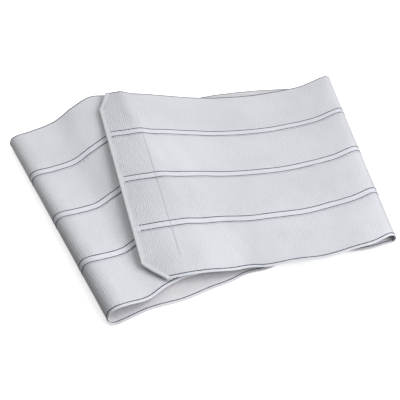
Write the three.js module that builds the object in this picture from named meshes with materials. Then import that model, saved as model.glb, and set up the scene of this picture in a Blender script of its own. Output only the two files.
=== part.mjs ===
// Abdominal binder: four long elastic panels lapped and stitched side by side into one wide
// band. The band is closed into a loop and lies on its side. Its inner end lies on the loop,
// its outer end laps over that, and a hook patch under the outer end holds the two together.
// Millimetres, +Z up. +X runs along the outer end's layer, the near long edge faces -Y.
// The origin is the bottom centre of the part's box.
import * as THREE from 'three';

// The elastic panels and the seams between them
const panelCount = 4;
const innerPanelWidth = 86;
const outerPanelWidth = 80;
const webThickness = 1.2;
const seamLap = 9;
const seamRamp = 3;
const pieceGap = 0.3;

// The lie of the loop: what the shares in the table below are shares of
const loopLength = 345;
const riseHeight = 20;
const foldRows = 4;
const foldSteps = 2;

// The two ends, with their cut corners
const farCorner = { along: 21, across: 28 };
const nearCorner = { along: 14, across: 26 };
const bindingWidth = 6;
const bindingThickness = 0.8;
const hookInset = 7;
const hookWidth = 32;
const hookCornerGap = 4;
const hookThickness = 1.2;

// How finely the cloth is cut across: strips of a panel's flat part, and of the hook patch
const flatStrips = 3;
const hookStrips = 6;

// Where each panel starts and ends across the band, from the far edge
const panels = [];
for (let panel = 0; panel < panelCount; panel += 1) {
  const start = panel === 0 ? 0 : panels[panel - 1].end - seamLap;
  const isOuter = panel === 0 || panel === panelCount - 1;
  panels.push({ start, end: start + (isOuter ? outerPanelWidth : innerPanelWidth) });
}
const bandWidth = panels[panelCount - 1].end;
const lapDrop = webThickness + pieceGap;
const stackStep = lapDrop + webThickness + pieceGap;
const hookStep = hookThickness + pieceGap;

// One row for each section across the band, from the inner end round the loop to the outer end.
// x, y: where the near edge is, as shares of loopLength. turn: degrees that the section leans
// towards -X at its far edge. stack: layers of cloth from the floor up to the outer face. hook:
// share of the hook patch's thickness under it. near, far: how far the near and the far edge
// rise over that stack, and sag: how far the section hangs in its middle, all as shares of
// riseHeight. steps: sections made up to the next row. fold: the cloth goes to the next row in
// a half circle, which bulges towards +X or -X.
const sections = [
  { at: 'inner end', x: 0.014, y: -0.33, turn: 8.2, stack: 2, near: 0.05, far: 0.77, steps: 3 },
  { at: 'inner lap', x: -0.058, y: -0.341, turn: 8, stack: 2, near: 0.05, far: 0.84, steps: 3 },
  { at: 'end above', x: -0.122, y: -0.346, turn: 7.5, stack: 2, near: 0.05, far: 0.94, sag: 0.14, steps: 4 },
  { at: 'left dip', x: -0.188, y: -0.384, turn: 7.5, stack: 2, near: 0.08, far: 0.8, sag: 0.22, steps: 3 },
  { at: 'left slope', x: -0.24, y: -0.418, turn: 8.3, stack: 2, near: 0.13, far: 0.44, sag: 0.18, steps: 3 },
  { at: 'shoulder', x: -0.298, y: -0.446, turn: 9.3, stack: 2, near: 0.38, far: 0.4, sag: 0.1, steps: 2 },
  { at: 'left crown', x: -0.342, y: -0.465, turn: 9.9, stack: 2, near: 0.54, far: 0.45, fold: -1 },
  { at: 'left foot', x: -0.342, y: -0.47, turn: 9.9, stack: 0, near: 0, far: 0, steps: 3 },
  { at: 'floor 1', x: -0.238, y: -0.443, turn: 12, stack: 0, near: 0, far: 0, steps: 4 },
  { at: 'floor 2', x: -0.101, y: -0.409, turn: 13, stack: 0, near: 0, far: 0, steps: 3 },
  { at: 'floor 3', x: -0.003, y: -0.38, turn: 9, stack: 0, near: 0, far: 0, steps: 4 },
  { at: 'floor 4', x: 0.145, y: -0.34, turn: -1, stack: 0, near: 0, far: 0, steps: 4 },
  { at: 'edge lifts', x: 0.261, y: -0.342, turn: -4, stack: 0, near: 0.15, far: 0, steps: 4 },
  { at: 'edge clear', x: 0.368, y: -0.358, turn: -5.5, stack: 0, near: 0.37, far: 0, steps: 3 },
  { at: 'right foot', x: 0.468, y: -0.354, turn: -6.3, stack: 0, near: 0.33, far: 0, fold: 1 },
  { at: 'right crown', x: 0.468, y: -0.354, turn: -6.3, stack: 2, near: 0.57, far: 0.27, steps: 3 },
  { at: 'right slope', x: 0.391, y: -0.378, turn: -5.3, stack: 2, near: 0.66, far: 0.08, steps: 4 },
  { at: 'right dip', x: 0.304, y: -0.3875, turn: -4.3, stack: 2, near: 0.53, far: 0.01, steps: 4 },
  { at: 'middle', x: 0.212, y: -0.3885, turn: -3.5, stack: 2, near: 0.4, far: 0.01, steps: 4 },
  { at: 'crest foot', x: 0.11, y: -0.374, turn: -1, stack: 2, near: 0.28, far: 0.1, steps: 3 },
  { at: 'crest slope', x: 0.055, y: -0.366, turn: 4, stack: 2.5, near: 0.1, far: 0.5, steps: 3 },
  { at: 'crest', x: 0.012, y: -0.366, turn: 7, stack: 3, hook: 1, near: 0.02, far: 0.79, steps: 4 },
  { at: 'hook patch', x: -0.11, y: -0.363, turn: 4, stack: 3, hook: 1, near: 0.1, far: 0.95, steps: 5 },
  { at: 'outer end', x: -0.238, y: -0.362, turn: -1.3, stack: 3, hook: 1, near: 0.14, far: 0.9, steps: 1 },
];

// The shares 0 to 1 in a number of equal steps
function shares(count) {
  return Array.from({ length: count + 1 }, (none, step) => step / count);
}

// The near and far edge of the outer face at one row of the table
function rowEdges(row) {
  const stackHeight = row.stack * stackStep + (row.hook ?? 0) * hookStep;
  const nearHeight = stackHeight + row.near * riseHeight;
  const farHeight = stackHeight + row.far * riseHeight;
  const reach = Math.sqrt(bandWidth ** 2 - (farHeight - nearHeight) ** 2);
  const lean = THREE.MathUtils.degToRad(row.turn);
  const near = new THREE.Vector3(row.x * loopLength, row.y * loopLength, nearHeight);
  const across = new THREE.Vector3(-reach * Math.sin(lean), reach * Math.cos(lean), farHeight - nearHeight);
  const far = near.clone().add(across);
  return { near, far, sag: (row.sag ?? 0) * riseHeight, steps: row.steps ?? foldSteps };
}

// A point on the half circle that stands between two points, at a share of the way round
function foldPoint(from, to, outward, share) {
  const angle = Math.PI * share;
  const radius = from.distanceTo(to) / 2;
  const level = from.clone().add(to).multiplyScalar(0.5);
  level.addScaledVector(from.clone().sub(to).multiplyScalar(0.5), Math.cos(angle));
  return level.addScaledVector(outward, radius * Math.sin(angle));
}

// The edges of every row, with the rows that round each fold
function allEdges() {
  const edges = [];
  sections.forEach((row, index) => {
    const edge = rowEdges(row);
    edges.push(edge);
    if (row.fold) {
      const next = rowEdges(sections[index + 1]);
      const lean = THREE.MathUtils.degToRad(row.turn);
      const outward = new THREE.Vector3(Math.cos(lean), Math.sin(lean), 0).multiplyScalar(row.fold);
      shares(foldRows).slice(1, -1).forEach((share) => {
        const near = foldPoint(edge.near, next.near, outward, share);
        const far = foldPoint(edge.far, next.far, outward, share);
        edges.push({ near, far, sag: 0, steps: foldSteps });
      });
    }
  });
  return edges;
}

// Cloth that would sink into the floor lies on it
function onFloor(point) {
  return point.setZ(Math.max(point.z, 0));
}

// A section of the band's full width, from its near edge towards a far point
function sectionThrough(near, far, sag) {
  const across = near.clone().sub(far).normalize();
  return { far: near.clone().addScaledVector(across, -bandWidth), across, sag };
}

// Sections across the band, between smooth curves through the near and the far edges
function bandSections() {
  const edges = allEdges();
  const nearCurve = new THREE.CatmullRomCurve3(edges.map((edge) => edge.near), false, 'centripetal');
  const farCurve = new THREE.CatmullRomCurve3(edges.map((edge) => edge.far), false, 'centripetal');
  const cuts = [];
  edges.forEach((edge, index) => {
    const next = edges[index + 1] ?? edge;
    for (let step = 0; step < edge.steps; step += 1) {
      const share = step / edge.steps;
      const t = (index + share) / (edges.length - 1);
      const near = onFloor(nearCurve.getPoint(t));
      const far = onFloor(farCurve.getPoint(t));
      cuts.push(sectionThrough(near, far, THREE.MathUtils.lerp(edge.sag, next.sag, share)));
    }
  });
  return cuts;
}

// Adds the section at a distance from the list's first end, where a cut corner stops
function addCornerSection(list, distance) {
  const middle = (cut) => cut.far.clone().addScaledVector(cut.across, bandWidth / 2);
  let walked = 0;
  let index = 0;
  let length = middle(list[0]).distanceTo(middle(list[1]));
  while (walked + length < distance) {
    walked += length;
    index += 1;
    length = middle(list[index]).distanceTo(middle(list[index + 1]));
  }
  const share = (distance - walked) / length;
  const near = (cut) => cut.far.clone().addScaledVector(cut.across, bandWidth);
  const nearPoint = near(list[index]).lerp(near(list[index + 1]), share);
  const farPoint = list[index].far.clone().lerp(list[index + 1].far, share);
  const sag = THREE.MathUtils.lerp(list[index].sag, list[index + 1].sag, share);
  list.splice(index + 1, 0, sectionThrough(nearPoint, farPoint, sag));
}

const cuts = bandSections();
for (let end = 0; end < 2; end += 1) {
  addCornerSection(cuts, farCorner.along);
  addCornerSection(cuts, nearCorner.along);
  cuts.reverse();
}

// A point of the outer face, by section and by distance from the far edge
function facePoint(index, across) {
  const { far, across: way, sag } = cuts[index];
  const share = across / bandWidth;
  const point = far.clone().addScaledVector(way, across);
  return point.setZ(point.z - 4 * share * (1 - share) * sag);
}

// The way along the band at a point of the outer face, towards the outer end
function faceAlong(index, across) {
  const here = facePoint(index, across);
  const along = new THREE.Vector3();
  if (index > 0) {
    along.add(here.clone().sub(facePoint(index - 1, across)).normalize());
  }
  if (index < cuts.length - 1) {
    along.add(facePoint(index + 1, across).sub(here).normalize());
  }
  return along.normalize();
}

// A point under the outer face, by section, distance from the far edge and depth
function clothPoint(index, across, depth) {
  const outward = faceAlong(index, across).cross(cuts[index].across).normalize();
  return facePoint(index, across).addScaledVector(outward, -depth);
}

// Distance of each section from the two ends, along the middle of the band
function endDistances() {
  const fromInner = [0];
  for (let index = 1; index < cuts.length; index += 1) {
    const length = facePoint(index, bandWidth / 2).distanceTo(facePoint(index - 1, bandWidth / 2));
    fromInner.push(fromInner[index - 1] + length);
  }
  const total = fromInner[cuts.length - 1];
  return fromInner.map((inner) => ({ inner, outer: total - inner }));
}

const distances = endDistances();

// A point at any distance from the outer end, also just past it
function endPoint(fromOuter, across, depth) {
  const last = cuts.length - 1;
  if (fromOuter <= 0) {
    return clothPoint(last, across, depth).addScaledVector(faceAlong(last, across), -fromOuter);
  }
  let index = last;
  while (distances[index - 1].outer < fromOuter) {
    index -= 1;
  }
  const span = distances[index - 1].outer - distances[index].outer;
  const share = (fromOuter - distances[index].outer) / span;
  return clothPoint(index, across, depth).lerp(clothPoint(index - 1, across, depth), share);
}

// How much a cut corner takes off its long edge at one section
function cornerCut(corner, index) {
  const distance = Math.min(distances[index].inner, distances[index].outer);
  return Math.max(0, 1 - distance / corner.along) * corner.across;
}

// A closed solid from rings of points that all have the same count: each ring is a section
function solidFromRings(rings) {
  const count = rings[0].length;
  const positions = rings.flat().flatMap((point) => [point.x, point.y, point.z]);
  const triangles = [];
  for (let ring = 0; ring < rings.length - 1; ring += 1) {
    for (let corner = 0; corner < count; corner += 1) {
      const a = ring * count + corner;
      const b = ring * count + ((corner + 1) % count);
      triangles.push(a, b, b + count, a, b + count, a + count);
    }
  }
  const lastRing = (rings.length - 1) * count;
  for (let corner = 0; corner < count / 2 - 1; corner += 1) {
    const opposite = count - 1 - corner;
    triangles.push(corner, opposite, corner + 1, corner + 1, opposite, opposite - 1);
    triangles.push(lastRing + corner, lastRing + corner + 1, lastRing + opposite);
    triangles.push(lastRing + corner + 1, lastRing + opposite - 1, lastRing + opposite);
  }
  const geometry = new THREE.BufferGeometry();
  geometry.setAttribute('position', new THREE.Float32BufferAttribute(positions, 3));
  geometry.setIndex(triangles);
  return facingOut(geometry);
}

// The same geometry with its triangles turned over if they face inwards
function facingOut(geometry) {
  const position = geometry.getAttribute('position');
  const index = geometry.getIndex();
  const [a, b, c] = [new THREE.Vector3(), new THREE.Vector3(), new THREE.Vector3()];
  let volume = 0;
  for (let corner = 0; corner < index.count; corner += 3) {
    a.fromBufferAttribute(position, index.getX(corner));
    b.fromBufferAttribute(position, index.getX(corner + 1));
    c.fromBufferAttribute(position, index.getX(corner + 2));
    volume += a.dot(b.cross(c));
  }
  if (volume < 0) {
    geometry.setIndex(Array.from(index.array).reverse());
  }
  geometry.computeVertexNormals();
  return geometry;
}

// One section of a panel: places across the band, with the depth of the outer face at each
function panelProfile(panel, index) {
  const { start, end } = panels[panel];
  const first = panel === 0 ? cornerCut(farCorner, index) : start;
  const last = panel === panelCount - 1 ? end - cornerCut(nearCorner, index) : end;
  const flat = panel === 0 ? first : start + seamLap + pieceGap + seamRamp;
  const profile = [];
  if (panel > 0) {
    profile.push({ across: first, depth: lapDrop });
    profile.push({ across: start + seamLap + pieceGap, depth: lapDrop });
  }
  shares(flatStrips).forEach((share) => {
    profile.push({ across: THREE.MathUtils.lerp(flat, last, share), depth: 0 });
  });
  return profile;
}

// A wall of cloth through every section: down the outer face and back along the inner one
function panelSolid(panel) {
  const rings = cuts.map((cut, index) => {
    const profile = panelProfile(panel, index);
    const outer = profile.map(({ across, depth }) => clothPoint(index, across, depth));
    const inner = profile.map(({ across, depth }) => clothPoint(index, across, depth + webThickness));
    return [...outer, ...inner.reverse()];
  });
  return solidFromRings(rings);
}

// How far along the middle of the band from the outer end, for a length measured at any place
// across it
function middleDistance(length, across) {
  let run = 0;
  let step = 0;
  let index = cuts.length - 1;
  while (run < length) {
    step = facePoint(index, across).distanceTo(facePoint(index - 1, across));
    run += step;
    index -= 1;
  }
  const share = (run - length) / step;
  return THREE.MathUtils.lerp(distances[index].outer, distances[index + 1].outer, share);
}

// The hook patch: a flat strip that keeps its distance from the outer end all the way across
function hookPatchSolid() {
  const top = webThickness + lapDrop + pieceGap;
  const first = farCorner.across + hookCornerGap;
  const last = bandWidth - nearCorner.across - hookCornerGap;
  const places = shares(hookStrips).map((share) => THREE.MathUtils.lerp(first, last, share));
  const rings = shares(hookStrips).map((share) => {
    const length = hookInset + hookWidth * share;
    const corner = (across, depth) => endPoint(middleDistance(length, across), across, depth);
    const outer = places.map((across) => corner(across, top));
    const inner = places.map((across) => corner(across, top + hookThickness));
    return [...outer, ...inner.reverse()];
  });
  return solidFromRings(rings);
}

// How long the last stretch of the band is at a place across it, to its length along the middle
function endStretch(across) {
  const last = cuts.length - 1;
  return facePoint(last, across).distanceTo(facePoint(last - 1, across)) / distances[last - 1].outer;
}

// One cut corner of the outer end: its two ends, as distances from the outer end and the long
// edge, and the way that each of them moves for every millimetre inwards. The corner is mitred.
function cornerOutline({ along, across }) {
  const cutLength = Math.hypot(along, across);
  return [
    { along, across: 0, inAlong: cutLength / across, inAcross: 0 },
    { along: 0, across, inAlong: 1, inAcross: (cutLength - across) / along },
  ];
}

// The outline of the outer end, from the far edge to the near one
function endOutline() {
  const between = [bandWidth / 4, bandWidth / 2, (bandWidth * 3) / 4];
  const nearHalf = cornerOutline(nearCorner).map(({ along, across, inAlong, inAcross }) => (
    { along, across: bandWidth - across, inAlong, inAcross: -inAcross }
  ));
  return [
    ...cornerOutline(farCorner),
    ...between.map((across) => ({ along: 0, across, inAlong: 1, inAcross: 0 })),
    ...nearHalf.reverse(),
  ];
}

// The binding: a strip folded over the cut end and its two cut corners, each ring a section of it
function bindingSolid() {
  const under = webThickness + lapDrop + pieceGap;
  const rim = pieceGap + bindingThickness;
  const rings = endOutline().map(({ along, across, inAlong, inAcross }) => {
    const at = (inset, depth) => {
      const run = inset > 0 ? (inset * inAlong) / endStretch(across) : inset * inAlong;
      return endPoint(along + run, across + inset * inAcross, depth);
    };
    return [
      at(bindingWidth, -rim),
      at(-rim, -rim),
      at(-rim, under + bindingThickness),
      at(bindingWidth, under + bindingThickness),
      at(bindingWidth, under),
      at(-pieceGap, under),
      at(-pieceGap, -pieceGap),
      at(bindingWidth, -pieceGap),
    ];
  });
  return solidFromRings(rings);
}

function cloth(colour, roughness) {
  return new THREE.MeshStandardMaterial({ color: colour, roughness, metalness: 0 });
}

function named(name, geometry, material) {
  const mesh = new THREE.Mesh(geometry, material);
  mesh.name = name;
  return mesh;
}

const elasticCloth = cloth(0xe4e5ea, 0.9);
const bindingCloth = cloth(0xf0f0ee, 0.8);
const hookCloth = cloth(0xf2f2f0, 0.6);

const loop = new THREE.Group();
for (let panel = 0; panel < panelCount; panel += 1) {
  loop.add(named(`panel_${panel + 1}`, panelSolid(panel), elasticCloth));
}
loop.add(named('outer_end_binding', bindingSolid(), bindingCloth));
loop.add(named('hook_patch', hookPatchSolid(), hookCloth));

// The loop stands centred on the origin, with its lowest face on the floor
const box = new THREE.Box3().setFromObject(loop);
const centre = box.getCenter(new THREE.Vector3());
loop.position.set(-centre.x, -centre.y, -box.min.z);

const binder = new THREE.Group();
binder.add(loop);

export default binder;
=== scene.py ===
import bmesh
import bpy
import math
import numpy as np
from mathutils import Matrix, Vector


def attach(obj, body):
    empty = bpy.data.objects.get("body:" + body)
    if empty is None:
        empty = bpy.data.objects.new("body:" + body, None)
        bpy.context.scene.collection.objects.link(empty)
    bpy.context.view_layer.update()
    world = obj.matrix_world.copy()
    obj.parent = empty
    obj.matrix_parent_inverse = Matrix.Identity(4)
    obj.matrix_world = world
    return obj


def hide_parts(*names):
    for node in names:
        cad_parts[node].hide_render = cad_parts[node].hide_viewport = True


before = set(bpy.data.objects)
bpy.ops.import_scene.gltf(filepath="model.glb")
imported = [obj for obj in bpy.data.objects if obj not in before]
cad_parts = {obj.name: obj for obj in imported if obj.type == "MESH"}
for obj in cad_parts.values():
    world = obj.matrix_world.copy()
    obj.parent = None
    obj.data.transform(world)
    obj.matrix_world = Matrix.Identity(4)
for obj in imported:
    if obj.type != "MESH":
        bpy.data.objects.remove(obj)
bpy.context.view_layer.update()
print("frame loaded:", ", ".join(sorted(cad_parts)))

# the band and how it lies, in millimetres until a mesh is made
band = {
    "width": 305.0,
    "loopLength": 345.0,      # what x and y in the lie are shares of
    "rise": 20.0,             # what near, far and sag are shares of
    "stackStep": 3.0,
    "hookStep": 0.7,
    "moved": (-11.361, -12.681, 0.0),   # the lie's own origin in the part's frame
    "stationGap": 1.6,        # distance between the mesh's sections
    "rippleHeight": 0.35,
    "edgeWaves": ((1.0, 61.0, 0.6), (0.9, 103.0, 2.2)),   # height, length and start of each
    # where the cloth steps up to the hook patch, and how much of that is lost at the near edge
    "patchHump": dict(fromEnd=46.0, height=2.2, reach=11.0, fade=0.7),
    # along, across and start of each small wave of the surface
    "ripples": ((23.0, 61.0, 0.4), (41.0, 37.0, 2.1), (67.0, 83.0, 4.4), (31.0, -53.0, 1.3)),
    "rowSteps": 24,           # sections between two rows of the lie
    "sagBlend": 9,            # size of the window that smooths the sag, in sections
    "frameReach": (1.2, 2.0),     # how far each way a tangent looks, along and across
    "gridSteps": (420, 14),
    "fan": (60.0, 160.0),     # from the outer end, where the ribs start to turn, and over what length
}

# x, y: near edge; turn: lean of the section in degrees; stack, hook: layers under the outer face
lie = [
    dict(at="inner end", x=0.014, y=-0.33, turn=8.2, stack=2, near=0.05, far=0.77),
    dict(at="inner lap", x=-0.058, y=-0.341, turn=8, stack=2, near=0.05, far=0.84),
    dict(at="end above", x=-0.122, y=-0.346, turn=7.5, stack=2, near=0.05, far=0.94, sag=0.14),
    dict(at="left dip", x=-0.188, y=-0.384, turn=7.5, stack=2, near=0.08, far=0.8, sag=0.22),
    dict(at="left slope", x=-0.24, y=-0.418, turn=8.3, stack=2, near=0.13, far=0.44, sag=0.18),
    dict(at="shoulder", x=-0.298, y=-0.446, turn=9.3, stack=2, near=0.38, far=0.4, sag=0.1),
    dict(at="left crown", x=-0.342, y=-0.465, turn=9.9, stack=2, near=0.54, far=0.45, fold=-1),
    dict(at="left foot", x=-0.342, y=-0.47, turn=9.9, stack=0, near=0, far=0),
    dict(at="floor 1", x=-0.238, y=-0.443, turn=12, stack=0, near=0, far=0),
    dict(at="floor 2", x=-0.101, y=-0.409, turn=13, stack=0, near=0, far=0),
    dict(at="floor 3", x=-0.003, y=-0.38, turn=9, stack=0, near=0, far=0),
    dict(at="floor 4", x=0.145, y=-0.34, turn=-1, stack=0, near=0, far=0),
    dict(at="edge lifts", x=0.261, y=-0.342, turn=-4, stack=0, near=0.15, far=0),
    dict(at="edge clear", x=0.368, y=-0.358, turn=-5.5, stack=0, near=0.37, far=0),
    dict(at="right foot", x=0.468, y=-0.354, turn=-6.3, stack=0, near=0.33, far=0, fold=1),
    dict(at="right crown", x=0.468, y=-0.354, turn=-6.3, stack=2, near=0.57, far=0.27),
    dict(at="right slope", x=0.391, y=-0.378, turn=-5.3, stack=2, near=0.66, far=0.08),
    dict(at="right dip", x=0.304, y=-0.3875, turn=-4.3, stack=2, near=0.53, far=0.01),
    dict(at="middle", x=0.212, y=-0.3885, turn=-3.5, stack=2, near=0.4, far=0.01),
    dict(at="crest foot", x=0.11, y=-0.374, turn=-1, stack=2, near=0.28, far=0.1),
    dict(at="crest slope", x=0.055, y=-0.366, turn=4, stack=2.5, near=0.1, far=0.5),
    dict(at="crest", x=0.012, y=-0.366, turn=7, stack=3, hook=1, near=0.02, far=0.79),
    dict(at="hook patch", x=-0.11, y=-0.363, turn=4, stack=3, hook=1, near=0.1, far=0.95),
    dict(at="outer end", x=-0.238, y=-0.362, turn=-1.3, stack=3, hook=1, near=0.14, far=0.9),
]


def unit(v):
    return v / np.maximum(np.linalg.norm(v, axis=-1, keepdims=True), 1e-12)


def rowEdges(row):
    stack = row["stack"] * band["stackStep"] + row.get("hook", 0) * band["hookStep"]
    nearHeight = stack + row["near"] * band["rise"]
    farHeight = stack + row["far"] * band["rise"]
    reach = math.sqrt(band["width"] ** 2 - (farHeight - nearHeight) ** 2)
    lean = math.radians(row["turn"])
    near = np.array([row["x"] * band["loopLength"], row["y"] * band["loopLength"], nearHeight])
    far = near + np.array([-reach * math.sin(lean), reach * math.cos(lean), farHeight - nearHeight])
    return near, far, row.get("sag", 0) * band["rise"]


def foldPoint(a, b, outward, share):
    angle = math.pi * share
    middle = (a + b) / 2
    radius = np.linalg.norm(a - b) / 2
    return middle + (a - b) / 2 * math.cos(angle) + outward * radius * math.sin(angle)


def lieEdges():
    edges = []
    for index, row in enumerate(lie):
        near, far, sag = rowEdges(row)
        edges.append((near, far, sag, False))
        if "fold" in row:
            nextNear, nextFar, _ = rowEdges(lie[index + 1])
            lean = math.radians(row["turn"])
            outward = np.array([math.cos(lean), math.sin(lean), 0]) * row["fold"]
            for share in (0.25, 0.5, 0.75):
                edges.append((foldPoint(near, nextNear, outward, share),
                              foldPoint(far, nextFar, outward, share), 0, share == 0.5))
    return edges


def smoothPoint(points, index, share):
    # centripetal curve through the points, between index and index + 1
    last = len(points) - 1
    p1, p2 = points[index], points[index + 1]
    p0 = points[index - 1] if index > 0 else 2 * p1 - p2
    p3 = points[index + 2] if index + 2 <= last else 2 * p2 - p1
    d0, d1, d2 = (max(np.linalg.norm(b - a), 1e-6) ** 0.5 for a, b in ((p0, p1), (p1, p2), (p2, p3)))
    m1 = ((p1 - p0) / d0 - (p2 - p0) / (d0 + d1) + (p2 - p1) / d1) * d1
    m2 = ((p2 - p1) / d1 - (p3 - p1) / (d1 + d2) + (p3 - p2) / d2) * d1
    t = share
    return (p1 + m1 * t + (-3 * p1 + 3 * p2 - 2 * m1 - m2) * t ** 2
            + (2 * p1 - 2 * p2 + m1 + m2) * t ** 3)


def bandStations():
    edges = lieEdges()
    nears = [e[0] for e in edges]
    fars = [e[1] for e in edges]
    rows = []
    steps = band["rowSteps"]
    for index in range(len(edges) - 1):
        for step in range(steps + (index == len(edges) - 2)):
            share = step / steps
            near = smoothPoint(nears, index, share)
            far = smoothPoint(fars, index, share)
            near[2], far[2] = max(near[2], 0), max(far[2], 0)
            sag = edges[index][2] * (1 - share) + edges[index + 1][2] * share
            rows.append((near, far, sag))
    near = np.array([r[0] for r in rows])
    far = np.array([r[1] for r in rows])
    sag = np.array([r[2] for r in rows])
    way = unit(near - far)
    far = near - way * band["width"]
    middle = (near + far) / 2
    along = np.concatenate([[0], np.cumsum(np.linalg.norm(np.diff(middle, axis=0), axis=1))])
    kernel = np.hanning(band["sagBlend"])[1:-1]       # the sag runs on without a kink at its rows
    kernel /= kernel.sum()
    sag = np.convolve(np.pad(sag, len(kernel) // 2, mode="edge"), kernel, mode="valid")
    folds = [float(along[steps * i]) for i, edge in enumerate(edges) if edge[3]]
    return along, far + np.array(band["moved"]), way, sag, folds


stationAlong, stationFar, stationWay, stationSag, foldPlaces = bandStations()
bandLength = float(stationAlong[-1])
print("band length %.1f mm, folds at" % bandLength, [round(place) for place in foldPlaces])


def ripple(along, across):
    # the cloth's own small unevenness, never downwards
    waves = band["ripples"]
    total = sum(np.sin(2 * math.pi * (along / a + across / b) + turn) for a, b, turn in waves)
    return band["rippleHeight"] * (0.5 + total / (2 * len(waves)))


def patchHump(along, share):
    # higher at the far edge than at the near one
    hump = band["patchHump"]
    offset = (along - bandLength + hump["fromEnd"]) / hump["reach"]
    return hump["height"] * (1 - hump["fade"] * share) * np.exp(-offset ** 2)


def edgeWave(along):
    # the near edge wanders a little along the band
    return sum(height * np.sin(2 * math.pi * along / length + turn)
               for height, length, turn in band["edgeWaves"])


def facePoint(along, across):
    along, across = np.broadcast_arrays(np.asarray(along, float), np.asarray(across, float))
    inside = np.clip(along, 0, bandLength)
    pick = lambda table: np.stack([np.interp(inside, stationAlong, table[:, k]) for k in range(3)], -1)
    way = unit(pick(stationWay))
    point = pick(stationFar) + way * across[..., None]
    share = across / band["width"]
    point[..., 2] -= 4 * share * (1 - share) * np.interp(inside, stationAlong, stationSag)
    point[..., 2] += ripple(inside, across) + patchHump(inside, share)
    point[..., 1] += share ** 2 * edgeWave(inside)
    over = (along - inside)[..., None]      # past an end the cloth goes straight on
    startWay = unit(stationFar[1] - stationFar[0])
    endWay = unit(stationFar[-1] - stationFar[-2])
    return point + np.minimum(over, 0) * startWay + np.maximum(over, 0) * endWay


def clothFrame(along, across):
    # tangent along the band, tangent across it and the outward normal
    reachAlong, reachAcross = band["frameReach"]
    ahead = unit(facePoint(along + reachAlong, across) - facePoint(along - reachAlong, across))
    side = unit(facePoint(along, across + reachAcross) - facePoint(along, across - reachAcross))
    return ahead, side, unit(np.cross(ahead, side))


def clothPoint(along, across, depth):
    along, across, depth = np.broadcast_arrays(*(np.asarray(x, float) for x in (along, across, depth)))
    _, _, outward = clothFrame(along, across)
    return facePoint(along, across) - outward * depth[..., None]


gridAlong = np.linspace(0.0, bandLength, band["gridSteps"][0])
gridAcross = np.linspace(0.0, band["width"], band["gridSteps"][1])


def lengthsFromEnd():
    # distance from the outer end, measured along the cloth at each place across
    grid = facePoint(gridAlong[:, None], gridAcross[None, :])
    steps = np.linalg.norm(np.diff(grid, axis=0), axis=2)
    run = np.concatenate([np.zeros((1, len(gridAcross))), np.cumsum(steps, axis=0)])
    return run[-1] - run


endLengths = lengthsFromEnd()


def ribPlace(along, across):
    # the ribs run level with the outer end near it, and level with the folds further on
    along, across = np.broadcast_arrays(np.asarray(along, float), np.asarray(across, float))
    flat = np.clip(along.ravel(), 0, bandLength)
    lines = np.stack([np.interp(flat, gridAlong, endLengths[:, k]) for k in range(len(gridAcross))])
    at = np.clip(across.ravel() / band["width"], 0, 1) * (len(gridAcross) - 1)
    low = np.minimum(at.astype(int), len(gridAcross) - 2)
    pick = np.arange(len(flat))
    measured = lines[low, pick] * (1 - at + low) + lines[low + 1, pick] * (at - low)
    byRow = bandLength - flat
    fanStart, fanReach = band["fan"]
    blend = np.clip((byRow - fanStart) / fanReach, 0, 1)
    blend = blend * blend * (3 - 2 * blend)
    return (bandLength - measured * (1 - blend) - byRow * blend).reshape(along.shape)


def alongAt(fromEnd, across):
    # where the cloth is, that far from the outer end at each place across
    tops = [np.interp(fromEnd, endLengths[::-1, k], gridAlong[::-1]) for k in range(len(gridAcross))]
    return np.interp(across, gridAcross, tops)


def linkObject(name, data):
    thing = bpy.data.objects.new(name, data)
    bpy.context.scene.collection.objects.link(thing)
    return thing


def meshPiece(name, points, faces, uvs=None, marks=None):
    # points in millimetres; uvs are one pair per point, in metres; marks are float attributes
    mesh = bpy.data.meshes.new(name)
    mesh.from_pydata((np.asarray(points) * 0.001).tolist(), [], faces)
    mesh.update()
    if uvs is not None:
        layer = mesh.uv_layers.new(name="clothMap")
        corners = np.zeros(len(mesh.loops), dtype=np.int32)
        mesh.loops.foreach_get("vertex_index", corners)
        layer.data.foreach_set("uv", np.asarray(uvs, dtype=np.float32)[corners].ravel())
    for key, values in (marks or {}).items():
        attribute = mesh.attributes.new(key, "FLOAT", "POINT")
        attribute.data.foreach_set("value", np.asarray(values, dtype=np.float32).ravel())
    mesh.polygons.foreach_set("use_smooth", [True] * len(mesh.polygons))
    return linkObject(name, mesh)


def ringFaces(rings, count, closeEnds=True):
    # quads between closed rings of the same count, with ladder caps at both ends
    faces = []
    for ring in range(rings - 1):
        for corner in range(count):
            a = ring * count + corner
            b = ring * count + (corner + 1) % count
            faces.append((a, b, b + count, a + count))
    if closeEnds:
        top = (rings - 1) * count
        for corner in range(count // 2 - 1):
            other = count - 1 - corner
            faces.append((corner, other, other - 1, corner + 1))
            faces.append((top + corner, top + corner + 1, top + other - 1, top + other))
    return faces


def faceOutwards(piece):
    work = bmesh.new()
    work.from_mesh(piece.data)
    inwards = work.calc_volume(signed=True) < 0
    work.free()
    if inwards:
        piece.data.flip_normals()


# shader groups
def newGroup(name, inputs, outputs):
    group = bpy.data.node_groups.new(name, "ShaderNodeTree")
    for label, kind, value in inputs:
        socket = group.interface.new_socket(label, in_out="INPUT", socket_type=kind)
        if value is not None:
            socket.default_value = value
    for label, kind in outputs:
        group.interface.new_socket(label, in_out="OUTPUT", socket_type=kind)
    return group, group.nodes.new("NodeGroupInput"), group.nodes.new("NodeGroupOutput")


def addNode(tree, kind, inputs=None, **settings):
    # each input is a value or a socket that is linked to it
    node = tree.nodes.new(kind)
    for label, value in settings.items():
        setattr(node, label, value)
    for key, value in (inputs or {}).items():
        if isinstance(value, bpy.types.NodeSocket):
            tree.links.new(value, node.inputs[key])
        else:
            node.inputs[key].default_value = value
    return node


def mathNode(tree, operation, *values, clamp=False):
    node = addNode(tree, "ShaderNodeMath", dict(enumerate(values)), operation=operation, use_clamp=clamp)
    return node.outputs[0]


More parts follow.
